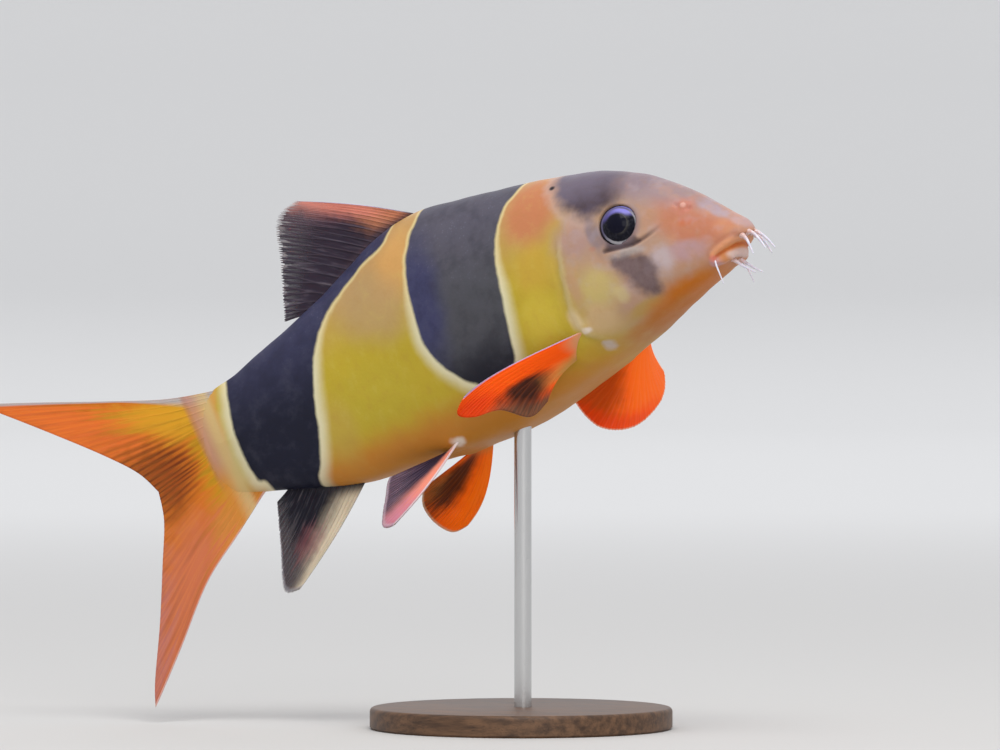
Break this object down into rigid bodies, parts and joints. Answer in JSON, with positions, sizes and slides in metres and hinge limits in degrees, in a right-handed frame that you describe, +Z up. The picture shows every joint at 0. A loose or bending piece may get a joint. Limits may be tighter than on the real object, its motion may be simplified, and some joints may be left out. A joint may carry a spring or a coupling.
{
  "type": "clown loach",
  "caption": "Life-size clown loach swimming with its snout raised and tail fin flicked down, as a still museum model held on a rod over a round base.",
  "frame": {"origin": "centre of the underside of the round base, where the model rests", "axes": "+Z up; +X towards the fish's snout, along the whole fish; +Y towards the fish's left side"},
  "size_m": [0.1608, 0.056, 0.1026],
  "materials": {
    "body_skin": "satin",
    "band_skin": "satin",
    "lip_skin": "satin",
    "eye": "polished",
    "red_fin": "satin",
    "dark_fin": "satin",
    "tail_fin": "satin",
    "stand_wood": "satin lacquer",
    "stand_steel": "brushed"
  },
  "bodies": {
    "root": {"head": "body_skin", "trunk": "body_skin", "tail_stalk": "band_skin", "eye_left": "eye", "eye_right": "eye", "lip_upper": "lip_skin", "lip_lower": "lip_skin", "barbel_snout_inner_left": "lip_skin", "barbel_snout_inner_right": "lip_skin", "barbel_snout_outer_left": "lip_skin", "barbel_snout_outer_right": "lip_skin", "barbel_mouth_corner_left": "lip_skin", "barbel_mouth_corner_right": "lip_skin", "barbel_chin_left": "lip_skin", "barbel_chin_right": "lip_skin", "dorsal_fin": "dark_fin", "anal_fin": "dark_fin", "tail_fin_upper": "tail_fin", "tail_fin_lower": "tail_fin", "pectoral_fin_left": "red_fin", "pectoral_fin_right": "red_fin", "pelvic_fin_left": "red_fin", "pelvic_fin_right": "red_fin", "stand_base": "stand_wood", "stand_rod": "stand_steel"}
  },
  "joints": []
}
